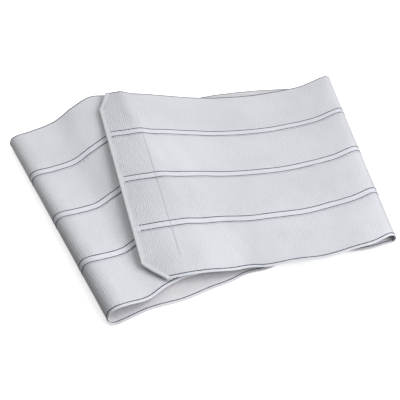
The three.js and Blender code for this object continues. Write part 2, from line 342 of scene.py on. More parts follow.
def times(tree, a, b):
    return mathNode(tree, "MULTIPLY", a, b)


def plus(tree, a, b):
    return mathNode(tree, "ADD", a, b)


def minus(tree, a, b):
    return mathNode(tree, "SUBTRACT", a, b)


def awayFrom(tree, value, place):
    return mathNode(tree, "ABSOLUTE", minus(tree, value, place))


def waveNode(tree, turns):
    # a wave between 0 and 1
    return plus(tree, times(tree, mathNode(tree, "SINE", times(tree, turns, 2 * math.pi)), 0.5), 0.5)


def noiseNode(tree, vector, scale, detail, rough=0.5):
    values = {"Vector": vector, "Scale": scale, "Detail": detail, "Roughness": rough}
    return addNode(tree, "ShaderNodeTexNoise", values).outputs["Fac"]


def stretchedNoise(tree, place, scales, detail, rough=0.5):
    # noise with one scale along the band and another across it
    values = {axis: times(tree, place[axis], scale) for axis, scale in enumerate(scales)}
    return noiseNode(tree, addNode(tree, "ShaderNodeCombineXYZ", values).outputs[0], 1.0, detail, rough)


def rangeNode(tree, value, low, high, toLow, toHigh):
    values = {"Value": value, "From Min": low, "From Max": high, "To Min": toLow, "To Max": toHigh}
    return addNode(tree, "ShaderNodeMapRange", values, interpolation_type="SMOOTHSTEP").outputs["Result"]


def mixColour(tree, share, a, b):
    a, b = ((*value, 1) if isinstance(value, tuple) else value for value in (a, b))
    return addNode(tree, "ShaderNodeMix", {0: share, 6: a, 7: b}, data_type="RGBA").outputs[2]


def splitNode(tree, vector):
    return addNode(tree, "ShaderNodeSeparateXYZ", {0: vector}).outputs


def clothMap(tree):
    return addNode(tree, "ShaderNodeUVMap", uv_map="clothMap").outputs[0]


def groupNode(tree, group, vector, values):
    # a shader group, fed with a map or a place
    return addNode(tree, "ShaderNodeGroup", {0: vector, **values}, node_tree=group).outputs


weaveLook = {
    "drift": (140, 55),       # scales of the noise that bends the ribs, along and across, per metre
    "driftRibs": 1.3,         # how many ribs it moves them by
    "ribShare": 0.7,          # of the height; the rest is where cross threads bind a rib
    "streaks": (500, 70),
    "dashes": (560, 150),
    "dashRange": (0.38, 0.62, 0.25, 1.5),   # from this noise to this height
}


def buildWeave():
    # ribs across the band with the cross threads that bind them, from a map in metres
    group, given, out = newGroup(
        "ribbedWeave",
        [("Map", "NodeSocketVector", None), ("Rib Pitch", "NodeSocketFloat", 0.0017),
         ("Pick Pitch", "NodeSocketFloat", 0.0011), ("Streaks", "NodeSocketFloat", 0.5)],
        [("Height", "NodeSocketFloat"), ("Shade", "NodeSocketFloat")])
    place = splitNode(group, given.outputs["Map"])
    ribAt = mathNode(group, "DIVIDE", place["X"], given.outputs["Rib Pitch"])
    wander = stretchedNoise(group, place, weaveLook["drift"], 2)
    ribAt = plus(group, ribAt, times(group, wander, weaveLook["driftRibs"]))
    rib = waveNode(group, ribAt)
    pickAt = mathNode(group, "DIVIDE", place["Y"], given.outputs["Pick Pitch"])
    stagger = times(group, mathNode(group, "FLOOR", ribAt), 0.5)
    pick = waveNode(group, plus(group, pickAt, stagger))
    ribShare = weaveLook["ribShare"]
    bound = times(group, times(group, rib, pick), 1 - ribShare)
    height = plus(group, times(group, rib, ribShare), bound)
    # streaks: ribs that stand a little higher or lower than their neighbours
    streak = stretchedNoise(group, place, weaveLook["streaks"], 3, 0.6)
    # dashes: a few cross threads of a rib that lie over the rest
    dashNoise = stretchedNoise(group, place, weaveLook["dashes"], 1)
    height = times(group, height, rangeNode(group, dashNoise, *weaveLook["dashRange"]))
    streak = times(group, minus(group, streak, 0.5), given.outputs["Streaks"])
    group.links.new(plus(group, height, streak), out.inputs["Height"])
    shade = plus(group, times(group, height, 0.5), streak)
    group.links.new(shade, out.inputs["Shade"])
    return group


def buildTwist():
    # the ply of a sewing thread, as slanting dark lines round it
    group, given, out = newGroup(
        "threadTwist",
        [("Place", "NodeSocketVector", None), ("Pitch", "NodeSocketFloat", 0.0006)],
        [("Height", "NodeSocketFloat")])
    place = splitNode(group, given.outputs["Place"])
    slant = plus(group, plus(group, place["X"], place["Y"]), place["Z"])
    turns = mathNode(group, "DIVIDE", slant, given.outputs["Pitch"])
    group.links.new(waveNode(group, turns), out.inputs["Height"])
    return group


weaveGroup = buildWeave()
twistGroup = buildTwist()


def newMaterial(name, roughness, sheen=0.0, specular=0.3):
    material = bpy.data.materials.new(name)
    material.use_nodes = True
    tree = material.node_tree
    shader = tree.nodes["Principled BSDF"]
    shader.inputs["Roughness"].default_value = roughness
    shader.inputs["Specular IOR Level"].default_value = specular
    shader.inputs["Sheen Weight"].default_value = sheen
    shader.inputs["Sheen Roughness"].default_value = 0.6
    return material, tree, shader


def addBump(tree, shader, height, distance, strength):
    bump = addNode(tree, "ShaderNodeBump", {"Height": height, "Distance": distance, "Strength": strength})
    tree.links.new(bump.outputs["Normal"], shader.inputs["Normal"])


elastic = {
    "ridge": (0.71, 0.722, 0.757),
    "furrow": (0.568, 0.58, 0.619),
    # painted light: the warmer tone of the inner face stands in for light through the cloth
    "innerGlowRidge": (0.72, 0.708, 0.735),
    "innerGlowFurrow": (0.62, 0.61, 0.64),
    "seamTint": (0.73, 0.755, 0.815),
    # painted groove shade beside the rows of sewing
    "needleRowShade": (0.42, 0.46, 0.56),
    "seamMiddles": (0.0755, 0.1525, 0.2295),   # across the band, in metres
    "seamHalf": 0.00415,                        # from a seam's middle to each of its rows
    "edgeRows": (0.0013, 0.3014),
    "ribPitch": 0.0023,
    "pickPitch": 0.0012,
    "bump": 0.0003,
    "calm": 0.34,             # how strong the ribs show away from the hook patch
    "leftFoldShade": (0.006, 0.03, 0.22),     # where a fold's painted shade starts to fade, ends, and how dark it is
    "rightFoldShade": (0.002, 0.0095, 0.28),
    "rimTint": (0.63, 0.645, 0.69),
    # masks across the band: from these places to these shares
    "strip": (0.0046, 0.0062, 1.0, 0.0),        # doubled cloth, from a seam's middle
    "farRim": (0.001, 0.0022, 1.0, 0.0),
    "hem": (0.3018, 0.3026, 0.0, 0.45),         # pale, beyond the near edge's row
    "foldFade": (0.02, 0.25, 0.4, 1.0),
    "foldRibs": 1.8,          # how much stronger the ribs are at a fold
    "patchStart": 0.0374,     # from the outer end to the hook patch's inner row of sewing
    "patchFade": (0.006, 0.02),     # before and after it, where the patch starts to show through
    "patchRibs": 0.45,
    # painted shade over the hook patch
    "patchShade": 0.07,
    "rowHalf": 0.0018,        # half the width of the dip that this row makes
    "rowLow": (0.03, 0.13, 0.0, 1.0),
    "rowHigh": (0.274, 0.277, 1.0, 0.0),
    # painted shade in the dip along the hook patch's row of sewing
    "patchRowShade": 0.07,
    "rowDip": 1.1,
    "needleDip": 0.8,
    "markShare": 0.8,
}


def buildSeamMarks():
    # where the rows of sewing pull the cloth in, and the doubled strip between two rows
    group, given, out = newGroup(
        "seamMarks",
        [("Map", "NodeSocketVector", None), ("Half Gap", "NodeSocketFloat", 0.004),
         ("Row Width", "NodeSocketFloat", 0.0009)],
        [("Rows", "NodeSocketFloat"), ("Strip", "NodeSocketFloat"), ("Hem", "NodeSocketFloat"),
         ("Rims", "NodeSocketFloat")])
    across = splitNode(group, given.outputs["Map"])["Y"]
    nearest = None
    for middle in elastic["seamMiddles"]:
        reach = awayFrom(group, across, middle)
        nearest = reach if nearest is None else mathNode(group, "MINIMUM", nearest, reach)
    offRow = awayFrom(group, nearest, given.outputs["Half Gap"])
    for place in elastic["edgeRows"]:
        offRow = mathNode(group, "MINIMUM", offRow, awayFrom(group, across, place))
    inRows = mathNode(group, "DIVIDE", offRow, given.outputs["Row Width"])
    rows = mathNode(group, "SUBTRACT", 1.0, inRows, clamp=True)
    group.links.new(rows, out.inputs["Rows"])
    group.links.new(rangeNode(group, nearest, *elastic["strip"]), out.inputs["Strip"])
    group.links.new(rangeNode(group, across, *elastic["hem"]), out.inputs["Hem"])
    group.links.new(rangeNode(group, across, *elastic["farRim"]), out.inputs["Rims"])
    return group


seamGroup = buildSeamMarks()


def foldShadeShare(tree, place):
    # at a fold the ribs show stronger and the cloth is darkened as painted shade, less so near the far edge
    masks = []
    for fold, side in zip(foldPlaces, ("leftFoldShade", "rightFoldShade")):
        # the third value is how dark the painted shade at the fold is
        start, end, depth = elastic[side]
        masks.append(rangeNode(tree, awayFrom(tree, place["X"], fold * 0.001), start, end, depth, 0.0))
    foldShadeAndRibs = mathNode(tree, "MAXIMUM", *masks)
    return times(tree, foldShadeAndRibs, rangeNode(tree, place["Y"], *elastic["foldFade"]))


def patchRowShare(tree, place, patchStart):
    # the row of sewing that holds the hook patch, seen from the outside: a dip in the bump, and painted shade
    # in the colour
    offRow = awayFrom(tree, place["X"], patchStart)
    row = rangeNode(tree, offRow, 0.0, elastic["rowHalf"], 1.0, 0.0)
    low = rangeNode(tree, place["Y"], *elastic["rowLow"])
    high = rangeNode(tree, place["Y"], *elastic["rowHigh"])
    return times(tree, row, times(tree, low, high))


def ribStrength(tree, uv, overPatch, foldShadeAndRibs):
    # the ribs show unevenly, and more over the hook patch and at the folds
    uneven = rangeNode(tree, noiseNode(tree, uv, 22, 2), 0.35, 0.65, 0.6, 1.3)
    strength = times(tree, uneven, elastic["calm"])
    strength = plus(tree, strength, times(tree, overPatch, elastic["patchRibs"]))
    return plus(tree, strength, times(tree, foldShadeAndRibs, elastic["foldRibs"]))


def ribColour(tree, weaveShade, strength, inner):
    # the inner side gets a warmer tone: painted light that stands in for light coming through the cloth in
    # the hollows
    offMiddle = minus(tree, weaveShade, 0.5)
    shade = mathNode(tree, "ADD", times(tree, offMiddle, strength), 0.5, clamp=True)
    cool = mixColour(tree, shade, elastic["furrow"], elastic["ridge"])
    innerGlow = mixColour(tree, shade, elastic["innerGlowFurrow"], elastic["innerGlowRidge"])
    return mixColour(tree, inner, cool, innerGlow)


def markedColour(tree, cloth, marks, outside):
    # doubled strips and the hem are paler, the rim darker, and painted groove shade lies along the rows of
    # sewing
    hem = times(tree, marks["Hem"], outside)
    pale = times(tree, mathNode(tree, "MAXIMUM", marks["Strip"], hem), 0.5)
    cloth = mixColour(tree, pale, cloth, elastic["seamTint"])
    for label, tint in (("Rims", "rimTint"), ("Rows", "needleRowShade")):
        share = times(tree, marks[label], elastic["markShare"])
        cloth = mixColour(tree, share, cloth, elastic[tint])
    return cloth


def elasticMaterial(bandEnd):
    material, tree, shader = newMaterial("ribbedElastic", 0.88, sheen=0.12)
    uv = clothMap(tree)
    place = splitNode(tree, uv)
    weave = groupNode(tree, weaveGroup, uv, {
        "Rib Pitch": elastic["ribPitch"], "Pick Pitch": elastic["pickPitch"], "Streaks": 0.9})
    marks = groupNode(tree, seamGroup, uv, {"Half Gap": elastic["seamHalf"]})
    inner = addNode(tree, "ShaderNodeAttribute", attribute_name="innerSide").outputs["Fac"]
    outside = minus(tree, 1.0, inner)
    # over the hook patch the ribs stand out more, and the cloth is darkened a little as painted shade
    patchStart = bandEnd - elastic["patchStart"]
    before, after = elastic["patchFade"]
    overPatch = rangeNode(tree, place["X"], patchStart - before, patchStart + after, 0.0, 1.0)
    # painted shade at the folds, which also makes the ribs show stronger there
    foldShadeAndRibs = foldShadeShare(tree, place)
    patchRow = patchRowShare(tree, place, patchStart)
    strength = ribStrength(tree, uv, overPatch, foldShadeAndRibs)
    cloth = ribColour(tree, weave["Shade"], strength, inner)
    cloth = markedColour(tree, cloth, marks, outside)
    # a random cloudy tone, less painted shade over the hook patch, along its row of sewing and on the outside
    # at the folds
    cloudTonesAndShade = rangeNode(tree, noiseNode(tree, uv, 14, 3), 0.3, 0.7, 0.965, 1.03)
    for value, paintedShade in ((overPatch, elastic["patchShade"]), (patchRow, elastic["patchRowShade"]), (foldShadeAndRibs, outside)):
        cloudTonesAndShade = minus(tree, cloudTonesAndShade, times(tree, value, paintedShade))
    tone = addNode(tree, "ShaderNodeVectorMath", {0: cloth, "Scale": cloudTonesAndShade}, operation="SCALE")
    tree.links.new(tone.outputs[0], shader.inputs["Base Color"])
    tree.links.new(rangeNode(tree, weave["Shade"], 0, 1, 0.95, 0.78), shader.inputs["Roughness"])
    height = times(tree, weave["Height"], strength)
    dips = plus(tree, times(tree, patchRow, elastic["rowDip"]),
                times(tree, marks["Rows"], elastic["needleDip"]))
    addBump(tree, shader, minus(tree, height, dips), elastic["bump"], 0.9)
    return material


def plainClothMaterial(name, light, dark, pitch, bump, roughness):
    # plain woven tape: two crossing sets of threads
    material, tree, shader = newMaterial(name, roughness, sheen=0.1)
    weave = groupNode(tree, weaveGroup, clothMap(tree), {
        "Rib Pitch": pitch, "Pick Pitch": pitch * 0.8, "Streaks": 0.4})
    tree.links.new(mixColour(tree, weave["Shade"], dark, light), shader.inputs["Base Color"])
    worn = rangeNode(tree, weave["Shade"], 0, 1, min(1.0, roughness + 0.1), roughness - 0.1)
    tree.links.new(worn, shader.inputs["Roughness"])
    addBump(tree, shader, weave["Height"], bump, 0.8)
    return material


def threadMaterial(name, light, dark, roughness):
    material, tree, shader = newMaterial(name, roughness, specular=0.15)
    place = tree.nodes.new("ShaderNodeTexCoord").outputs["Object"]
    twist = groupNode(tree, twistGroup, place, {})["Height"]
    tree.links.new(mixColour(tree, twist, dark, light), shader.inputs["Base Color"])
    worn = rangeNode(tree, twist, 0, 1, roughness + 0.15, roughness - 0.1)
    tree.links.new(worn, shader.inputs["Roughness"])
    addBump(tree, shader, twist, 0.0001, 0.7)
    return material


elasticCloth = elasticMaterial(bandLength * 0.001)
bindingCloth = plainClothMaterial("bindingTape", light=(0.70, 0.707, 0.73), dark=(0.60, 0.61, 0.635),
                                  pitch=0.0018, bump=0.0002, roughness=0.85)
hookCloth = plainClothMaterial("hookTape", light=(0.78, 0.78, 0.77), dark=(0.5, 0.5, 0.5),
                               pitch=0.0013, bump=0.0004, roughness=0.6)
blueThread = threadMaterial("blueThread", (0.032, 0.046, 0.10), (0.01, 0.015, 0.036), 0.6)
whiteThread = threadMaterial("whiteThread", (0.72, 0.73, 0.76), (0.55, 0.56, 0.6), 0.6)
print("materials made")

# the four elastic webs
webs = {
    "widths": (80.75, 87.5, 87.5, 80.75),   # from the far edge to the near one
    "thick": 1.2,
    "thinEdge": 0.75,         # a web is thinner along its selvedges
    "lap": 10.5,
    "lapBlend": 2.0,          # beyond a lap, where a web is back at its full thickness
    "underTop": 0.85,         # how deep the lower web of a lap lies
    # a free long edge: distance from it, depth of the outer face, depth of the inner face
    "freeEdge": ((0.0, 0.32, 0.55), (0.3, 0.1, 0.78), (0.9, 0.0, 0.9), (3.2, 0.0, 1.0)),
    "freeEdgeWidth": 5.0,
    "acrossGap": 3.6,
    "farCorner": (21.0, 28.0),            # along, across
    "nearCorner": (14.0, 26.0),
}
webNames = ("farWeb", "secondWeb", "thirdWeb", "nearWeb")
webStarts = [0.0]
for width in webs["widths"][:-1]:
    webStarts.append(webStarts[-1] + width - webs["lap"])
webEnds = [start + width for start, width in zip(webStarts, webs["widths"])]


def cornerCut(corner, along):
    distance = min(along, bandLength - along)
    return max(0.0, 1 - distance / corner[0]) * corner[1]


def narrowed(web, places, along):
    # at a cut corner only a web's single part gets narrower, so that its lap still fits its neighbour
    start, end = webStarts[web], webEnds[web]
    if web == 0:
        fixed = end - webs["lap"] - webs["lapBlend"]
        cut = start + cornerCut(webs["farCorner"], along)
        return np.where(places < fixed, fixed - (fixed - places) * (fixed - cut) / (fixed - start), places)
    if web == 3:
        fixed = start + webs["lap"] + webs["lapBlend"]
        cut = end - cornerCut(webs["nearCorner"], along)
        return np.where(places > fixed, fixed + (places - fixed) * (cut - fixed) / (end - fixed), places)
    return places


def underLap(start):
    # under the far neighbour, then up to the band's own face
    lap, thick, thin, top = (webs[key] for key in ("lap", "thick", "thinEdge", "underTop"))
    return [(start, top + 0.25, top + 0.5), (start + 0.4, top + 0.05, top + 0.7),
            (start + 1.2, top, top + thin), (start + lap / 2, top, top + thin),
            (start + lap - 0.6, top, top + thin), (start + lap + 0.25, top * 0.75, top + thin),
            (start + lap + 1.0, top * 0.25, thick + 0.15), (start + lap + webs["lapBlend"], 0.0, thick)]


def overLap(end):
    # over the near neighbour, thin, with a rolled edge
    lap, thin = webs["lap"], webs["thinEdge"]
    return [(end - lap, 0.0, thin), (end - lap + 1.3, 0.05, thin), (end - lap / 2, -0.06, thin),
            (end - 1.3, 0.05, thin), (end - 0.7, 0.0, thin), (end - 0.25, 0.1, thin - 0.08),
            (end, 0.3, thin - 0.3)]


def webProfile(web):
    # (across, depth of the outer face, depth of the inner face) from the web's far edge
    start, end, thick = webStarts[web], webEnds[web], webs["thick"]
    edge, edgeWidth = webs["freeEdge"], webs["freeEdgeWidth"]
    if web == 0:
        rows = [(start + offset, outer, inner) for offset, outer, inner in edge]
        rows.append((start + edgeWidth, 0.0, thick))
    else:
        rows = underLap(start)
    first = rows[-1][0]
    last = end - edgeWidth if web == 3 else end - webs["lap"] - webs["lapBlend"]
    count = max(2, int(round((last - first) / webs["acrossGap"])))
    rows += [(first + (last - first) * k / count, 0.0, thick) for k in range(1, count + 1)]
    if web == 3:
        rows += [(end - offset, outer, inner) for offset, outer, inner in reversed(edge)]
    else:
        rows += overLap(end)
    return np.array(rows)


def webAlongs():
    count = int(bandLength / band["stationGap"])
    places = list(np.linspace(0, bandLength, count + 1))
    for corner in (webs["farCorner"], webs["nearCorner"]):
        places += [corner[0], bandLength - corner[0]]
    return np.array(sorted(set(round(p, 4) for p in places)))


hook = {
    "inset": 7.0,             # from the outer end
    "width": 32.0,
    "cornerGap": 4.0,
    "top": 1.75,              # depth under the outer face
    "thick": 1.5,
    "sewnEdge": 1.6,          # the sewing's distance from the patch's rim
    "rim": 0.4,
    "rimPinch": 0.3,          # how much each face drops at the rim
    "flatFrom": 2.0,
    "steps": (14, 60),        # along and across the band
}


def buildWeb(web):
    profile = webProfile(web)
    alongs = webAlongs()
    across = np.array([narrowed(web, profile[:, 0], along) for along in alongs])
    alongGrid = np.repeat(alongs[:, None], across.shape[1], axis=1)
    outer = clothPoint(alongGrid, across, profile[None, :, 1])
    inner = clothPoint(alongGrid, across, profile[None, :, 2])
    points = np.concatenate([outer, inner[:, ::-1]], axis=1)
    ringAcross = np.concatenate([across, across[:, ::-1]], axis=1)
    ringAlong = np.concatenate([alongGrid, alongGrid], axis=1)
    count = points.shape[1]
    uvs = np.stack([ribPlace(ringAlong, ringAcross).ravel(), ringAcross.ravel()], axis=1) * 0.001
    innerSide = np.tile(np.repeat([0.0, 1.0], len(profile)), len(alongs))
    piece = meshPiece(webNames[web], points.reshape(-1, 3), ringFaces(len(alongs), count), uvs,
                      {"innerSide": innerSide})
    faceOutwards(piece)
    piece.data.materials.append(elasticCloth)
    return piece


webPieces = [buildWeb(web) for web in range(4)]
print("webs:", [len(p.data.polygons) for p in webPieces])

# the binding folded over the outer end
binding = {
    "width": 3.4,
    "thick": 0.2,
    "over": 0.15,             # its inner side lies this far over the cloth
    "under": 1.75,            # depth of the lowest cloth under it
    "step": 2.5,
    "farHides": 6.0,          # how much of each edge's sewing it hides beyond the cut corner
    "nearHides": 2.2,
    "seamHides": 5.4,         # from the outer end to the first stitch of a seam
    "cornerRun": 4.0,         # beside a corner, where the tape runs straight
    "turnSteps": (9, 7),      # outside and inside of the turn
    "turnFlat": 4.0,          # flat width that the turn takes up
    "fanProbe": 8,            # sections back from the end where the fanning is measured
}


def endOutline():
    # places along the outer end from the far edge to the near one, with their way inwards
    def corner(size):
        along, across = size
        cutLength = math.hypot(along, across)
        return [(along, 0.0, cutLength / across, 0.0),
                (0.0, across, 1.0, (cutLength - across) / along)]
    farEnd = corner(webs["farCorner"])
    nearEnd = [(a, band["width"] - c, ia, -ic) for a, c, ia, ic in corner(webs["nearCorner"])][::-1]
    straight = binding["cornerRun"]
    stops = farEnd + [(0.0, farEnd[1][1] + straight, 1.0, 0.0),
                      (0.0, nearEnd[0][1] - straight, 1.0, 0.0)] + nearEnd
    rows = []
    for a, b in zip(stops[:-1], stops[1:]):
        length = math.hypot(b[0] - a[0], b[1] - a[1])
        count = max(1, int(length / binding["step"]))
        rows += [tuple(x + (y - x) * k / count for x, y in zip(a, b)) for k in range(count)]
    rows.append(stops[-1])
    return np.array(rows)


def bindingSection():
    # (inset, depth) round the folded tape, first its outside, then back along its inside
    w, t, o, u = (binding[k] for k in ("width", "thick", "over", "under"))
    mid, half = (u - o) / 2, (u + o) / 2
    outerTurn, innerTurn = binding["turnSteps"]
    outside = [(w, -o - t * 0.6), (w - 0.5, -o - t), (w * 0.6, -o - t), (w * 0.3, -o - t * 0.95)]
    outside += [(-(half * 0.45 + t) * math.sin(a), mid - (half + t) * math.cos(a))
                for a in np.linspace(0.0, math.pi, outerTurn)]
    outside += [(w * 0.3, u + t * 0.95), (w * 0.6, u + t), (w - 0.5, u + t), (w, u + t * 0.6)]
    inside = [(w, u + 0.05), (w * 0.5, u + 0.03)]
    inside += [(-(half * 0.45) * math.sin(a), mid - half * math.cos(a))
               for a in np.linspace(math.pi, 0.0, innerTurn)]
    inside += [(w * 0.5, -o - 0.03), (w, -o - 0.05)]
    if (len(outside) + len(inside)) % 2:
        inside.insert(1, (w * 0.75, u + 0.04))
    return np.array(outside + inside)


def buildBinding():
    outline = endOutline()
    section = bindingSection()
    inset, depth = section[:, 0], section[:, 1]
    # the tape keeps its width where the sections fan out
    probe = -binding["fanProbe"]
    stretch = np.interp(outline[:, 1], gridAcross, endLengths[probe]) / (bandLength - gridAlong[probe])
    scale = np.where(inset[None, :] > 0, 1 / stretch[:, None], 1.0)
    along = bandLength - (outline[:, 0][:, None] + inset[None, :] * outline[:, 2][:, None] * scale)
    across = outline[:, 1][:, None] + inset[None, :] * outline[:, 3][:, None]
    points = clothPoint(along, across, np.broadcast_to(depth, along.shape))
    run = np.concatenate([[0], np.cumsum(np.hypot(np.diff(outline[:, 0]), np.diff(outline[:, 1])))])
    around = np.concatenate([[0], np.cumsum(np.hypot(np.diff(inset), np.diff(depth)))])
    uvs = np.stack([np.repeat(run[:, None], len(section), 1).ravel() * 0.001,
                    np.repeat(around[None, :], len(outline), 0).ravel() * 0.001], axis=1)
    piece = meshPiece("endBinding", points.reshape(-1, 3), ringFaces(len(outline), len(section), False), uvs)
    # the two cut ends of the tape are closed with a strip between its outside and its inside
    mesh = piece.data
    work = bmesh.new()
    work.from_mesh(mesh)
    bmesh.ops.holes_fill(work, edges=[e for e in work.edges if e.is_boundary], sides=0)
    bmesh.ops.triangulate(work, faces=[f for f in work.faces if len(f.verts) > 4])
    bmesh.ops.recalc_face_normals(work, faces=work.faces)
    work.to_mesh(mesh)
    work.free()
    mesh.polygons.foreach_set("use_smooth", [True] * len(mesh.polygons))
    faceOutwards(piece)
    mesh.materials.append(bindingCloth)
    return piece, float(run[-1])


bindingPiece, bindingRun = buildBinding()


# the hook patch under the outer end
def rimmedPlaces(low, high, steps):
    rim, flatFrom = hook["rim"], hook["flatFrom"]
    flat = np.linspace(low + flatFrom, high - flatFrom, steps)
    return np.concatenate([[low, low + rim], flat, [high - rim, high]])


def buildHookPatch():
    first = webs["farCorner"][1] + hook["cornerGap"]
    last = band["width"] - webs["nearCorner"][1] - hook["cornerGap"]
    stepsAlong, stepsAcross = hook["steps"]
    places = rimmedPlaces(first, last, stepsAcross)
    froms = rimmedPlaces(0.0, hook["width"], stepsAlong)
    tops = np.full(len(places), hook["top"])
    bottoms = np.full(len(places), hook["top"] + hook["thick"])
    tops[[0, -1]] += hook["rimPinch"]
    bottoms[[0, -1]] -= hook["rimPinch"]
    along = np.array([alongAt(hook["inset"] + distance, places) for distance in froms])
    alongs = bandLength - hook["inset"] - froms
    pinch = np.zeros(len(froms))
    pinch[[0, -1]] = hook["rimPinch"]
    outer = clothPoint(along, places[None, :], tops[None, :] + pinch[:, None])
    inner = clothPoint(along, places[None, :], bottoms[None, :] - pinch[:, None])
    points = np.concatenate([outer, inner[:, ::-1]], axis=1)
    ringAcross = np.concatenate([places, places[::-1]])
    uvs = np.stack([np.repeat(alongs, len(ringAcross)) * 0.001,
                    np.tile(ringAcross, len(alongs)) * 0.001], axis=1)
    piece = meshPiece("hookPatch", points.reshape(-1, 3), ringFaces(len(alongs), len(ringAcross)), uvs)
    faceOutwards(piece)
    piece.data.materials.append(hookCloth)
    return piece, last - first


hookPiece, hookLength = buildHookPatch()
print("binding and hook patch made")


# sewing: one stitch is a small lozenge of thread, set down by geometry nodes
def stitchTree():
    tree = bpy.data.node_groups.new("stitchRow", "GeometryNodeTree")
    face = tree.interface
    face.new_socket("Geometry", in_out="INPUT", socket_type="NodeSocketGeometry")
    for label, value in (("Stitch Length", 0.002), ("Thread Width", 0.0006), ("Thread Height", 0.0004)):
        face.new_socket(label, in_out="INPUT", socket_type="NodeSocketFloat").default_value = value
    face.new_socket("Thread", in_out="INPUT", socket_type="NodeSocketMaterial")
    face.new_socket("Geometry", in_out="OUTPUT", socket_type="NodeSocketGeometry")
    given = addNode(tree, "NodeGroupInput").outputs
    drop = addNode(tree, "GeometryNodeMeshUVSphere", {"Segments": 6, "Rings": 4, "Radius": 0.5})
    size = addNode(tree, "ShaderNodeCombineXYZ", {
        0: given["Thread Width"], 1: given["Thread Height"], 2: given["Stitch Length"]})
    shape = addNode(tree, "GeometryNodeTransform", {
        "Geometry": drop.outputs["Mesh"], "Scale": size.outputs[0]})
    softened = addNode(tree, "GeometryNodeSetShadeSmooth", {"Geometry": shape.outputs["Geometry"]})
    ways = [addNode(tree, "GeometryNodeInputNamedAttribute", {"Name": label}, data_type="FLOAT_VECTOR")
            for label in ("threadWay", "threadUp")]
    turn = addNode(tree, "FunctionNodeAxesToRotation", {
        "Primary Axis": ways[0].outputs["Attribute"], "Secondary Axis": ways[1].outputs["Attribute"]},
        primary_axis="Z", secondary_axis="Y")
    points = addNode(tree, "GeometryNodeInstanceOnPoints", {
        "Points": given["Geometry"], "Instance": softened.outputs["Geometry"],
        "Rotation": turn.outputs["Rotation"]})
    real = addNode(tree, "GeometryNodeRealizeInstances", {"Geometry": points.outputs["Instances"]})
    paint = addNode(tree, "GeometryNodeSetMaterial", {
        "Geometry": real.outputs["Geometry"], "Material": given["Thread"]})
    addNode(tree, "NodeGroupOutput", {"Geometry": paint.outputs["Geometry"]})
    return tree


stitchNodes = stitchTree()

sewing = {
    "blue": dict(pitch=2.7, length=2.75, width=1.35, height=0.5),
    "near": dict(pitch=2.7, length=2.8, width=1.3, height=0.45),
    "white": dict(pitch=3.2, length=2.5, width=0.5, height=0.35),
    "seamInset": 1.1,        # of each row from the lap's own edge
    "nearEdgeInset": 3.6,
    "farEdgeInset": 1.3,
    "proud": 0.05,           # how far a blue row's middle stands over the cloth
    "farBack": 0.95,         # depths of the inner rows near the long edges
    "nearBack": 1.05,
    "patchProud": 0.02,
    "bandSteps": 900,
    "patchSteps": (40, 240),  # along and across the band
}


def stitchPlaces(along, across, depth, pitch):
    # evenly spaced places on a path over the cloth, with the thread's way and the face's normal
    path = clothPoint(along, across, depth)
    run = np.concatenate([[0], np.cumsum(np.linalg.norm(np.diff(path, axis=0), axis=1))])
    count = int(run[-1] / pitch)
    stops = (np.arange(count) + 0.5) * run[-1] / count
    atAlong = np.interp(stops, run, along)
    atAcross = np.interp(stops, run, across)
    atDepth = np.interp(stops, run, depth)
    centre = clothPoint(atAlong, atAcross, atDepth)
    ahead = np.stack([np.interp(stops + 0.5, run, path[:, k]) for k in range(3)], -1)
    behind = np.stack([np.interp(stops - 0.5, run, path[:, k]) for k in range(3)], -1)
    _, _, up = clothFrame(atAlong, atAcross)
    return centre, unit(ahead - behind), up


def sewRows(name, paths, kind, material):
    stitch = sewing[kind]
    rows = []
    for path in paths:
        along, across, depth = (np.array(x, float) for x in np.broadcast_arrays(*path))
        rows.append(stitchPlaces(along, across, depth, stitch["pitch"]))
    centres, ways, ups = (np.concatenate(column) for column in zip(*rows))
    mesh = bpy.data.meshes.new(name)
    mesh.from_pydata((centres * 0.001).tolist(), [], [])
    for label, values in (("threadWay", ways), ("threadUp", ups)):
        attribute = mesh.attributes.new(label, "FLOAT_VECTOR", "POINT")
        attribute.data.foreach_set("vector", values.astype(np.float32).ravel())
    piece = linkObject(name, mesh)
    modifier = piece.modifiers.new("stitches", "NODES")
    modifier.node_group = stitchNodes
    values = {"Stitch Length": stitch["length"] * 0.001, "Thread Width": stitch["width"] * 0.001,
              "Thread Height": stitch["height"] * 0.001, "Thread": material}
    for item in stitchNodes.interface.items_tree:
        if item.in_out == "INPUT" and item.name in values:
            modifier[item.identifier] = values[item.name]
    bpy.context.view_layer.update()
    evaluated = piece.evaluated_get(bpy.context.evaluated_depsgraph_get())
    plain = bpy.data.meshes.new_from_object(evaluated)
    piece.modifiers.remove(modifier)
    for vertex in plain.vertices:      # the floor presses the stitches under the cloth flat
        vertex.co.z = max(vertex.co.z, 0.0)
    piece.data = plain
    plain.name = name
    return piece


wholeBand = np.linspace(0.0, bandLength, sewing["bandSteps"])
sheetSewing = {}
for web in range(3):
    low = webEnds[web] - webs["lap"] + sewing["seamInset"]
    high = webEnds[web] - sewing["seamInset"]
    outside, inside = -sewing["proud"], webs["underTop"] + webs["thinEdge"] + sewing["proud"]
    run = wholeBand[(wholeBand > 1.0) & (wholeBand < bandLength - binding["seamHides"])]
    paths = [(run, place, depth) for place in (low, high) for depth in (outside, inside)]
    sheetSewing[web] = sewRows("seamSewing_%d" % (web + 1), paths, "blue", blueThread)


def edgeRun(corner, inset, hidden):
    # where a row near a long edge is still on the cloth, clear of the binding at the cut corner
    clear = corner[0] * (1 - inset / corner[1])
    return wholeBand[(wholeBand > clear + 1) & (wholeBand < bandLength - clear - hidden)]


